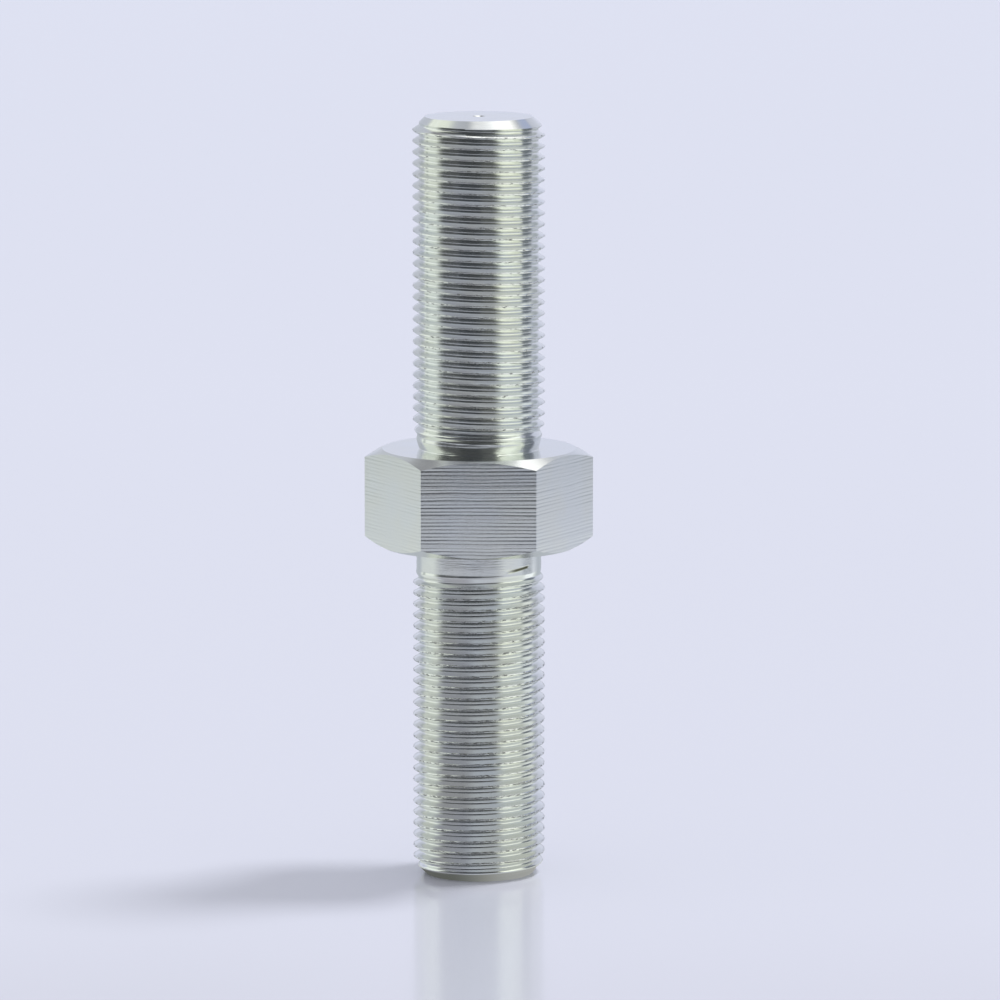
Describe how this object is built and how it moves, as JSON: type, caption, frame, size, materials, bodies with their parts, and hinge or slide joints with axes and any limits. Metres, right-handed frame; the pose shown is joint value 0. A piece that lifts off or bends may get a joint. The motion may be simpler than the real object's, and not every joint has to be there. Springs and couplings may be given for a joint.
{
  "type": "jack screw",
  "caption": "Steel jack screw with a chamfered hexagonal collar between opposed threaded ends, left-hand above and right-hand below, so that turning the collar drives the ends apart.",
  "frame": {"origin": "centre of the lower end face, on which the screw stands", "axes": "+Z along the screw's axis, from the right-hand end up to the left-hand end; flats of the collar face +Y and -Y, and corners of it lie on X"},
  "size_m": [0.041, 0.0354, 0.137],
  "materials": {
    "zinc_plated_steel": "bright zinc plate over rolled threads, turned ends and a cold-drawn hexagon"
  },
  "bodies": {
    "root": {"jack_screw": "zinc_plated_steel"}
  },
  "joints": []
}
